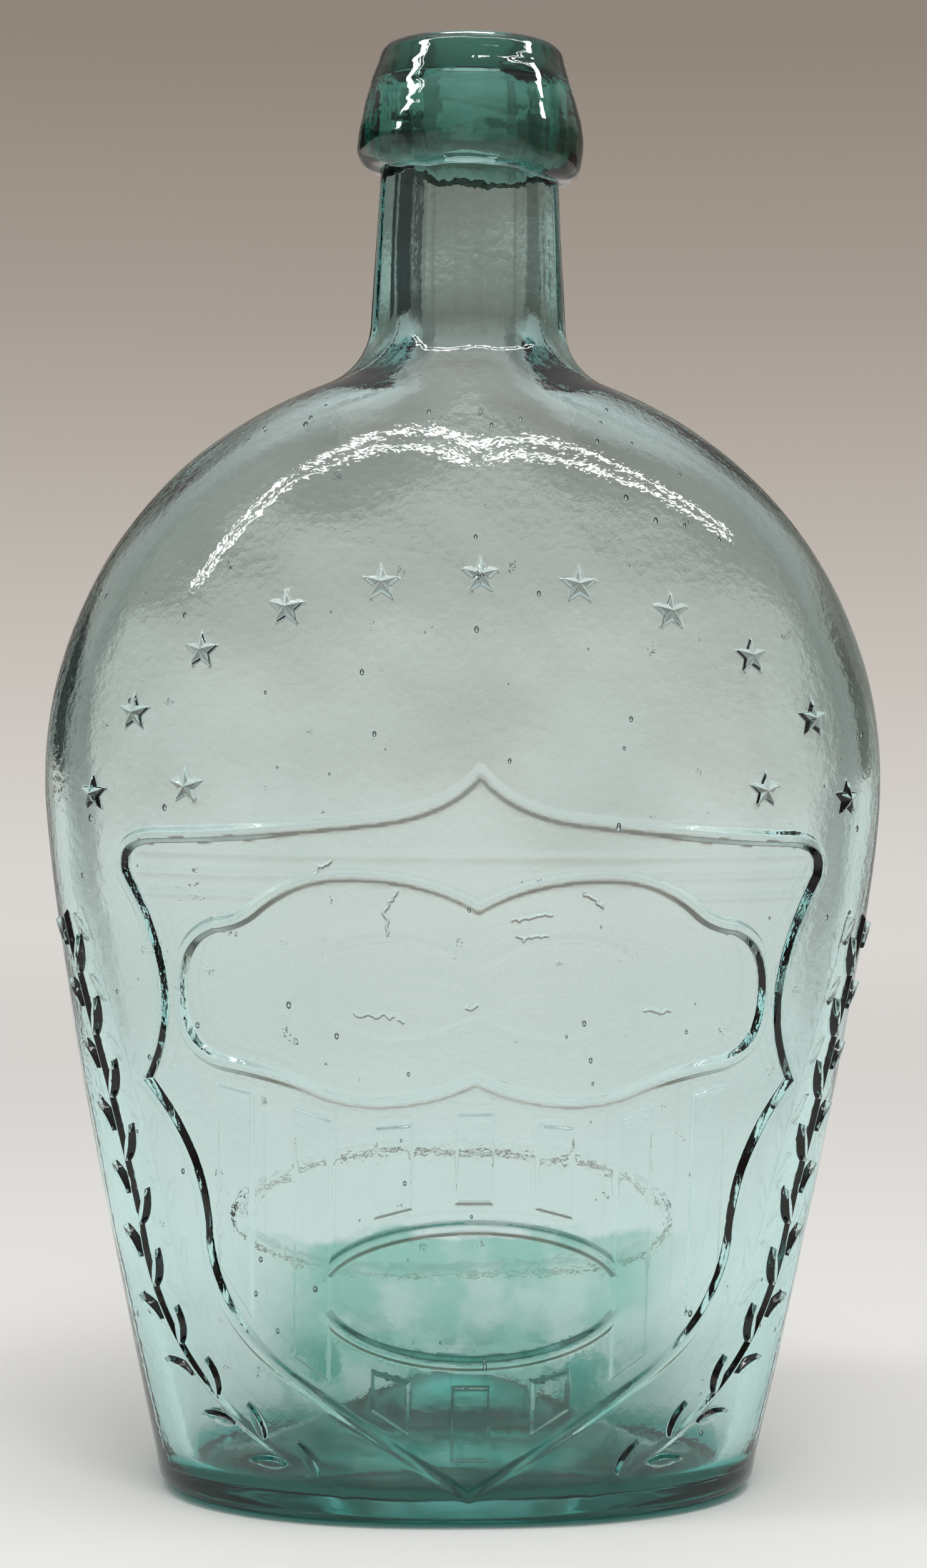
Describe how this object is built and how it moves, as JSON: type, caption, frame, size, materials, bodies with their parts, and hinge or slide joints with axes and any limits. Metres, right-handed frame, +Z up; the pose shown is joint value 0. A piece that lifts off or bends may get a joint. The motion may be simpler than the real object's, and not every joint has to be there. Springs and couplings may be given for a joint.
{
  "type": "glass flask",
  "caption": "Flattened pale aqua glass flask with a domed shoulder, relief front, narrow neck and applied tapered collar; stands on its base and holds liquid.",
  "frame": {"origin": "on the table, under the middle of the base", "axes": "+Z up along the neck, +X to the right of someone facing the relief, -Y out of the relief front"},
  "size_m": [0.1288, 0.0812, 0.222],
  "materials": {
    "pale_aqua_glass": "fire-polished pale aqua glass with faint mould waves and seeds",
    "deep_aqua_glass": "tooled pale aqua glass, deeper in colour where it is thick"
  },
  "bodies": {
    "root": {"flask_body": "pale_aqua_glass", "applied_collar": "deep_aqua_glass"}
  },
  "joints": []
}
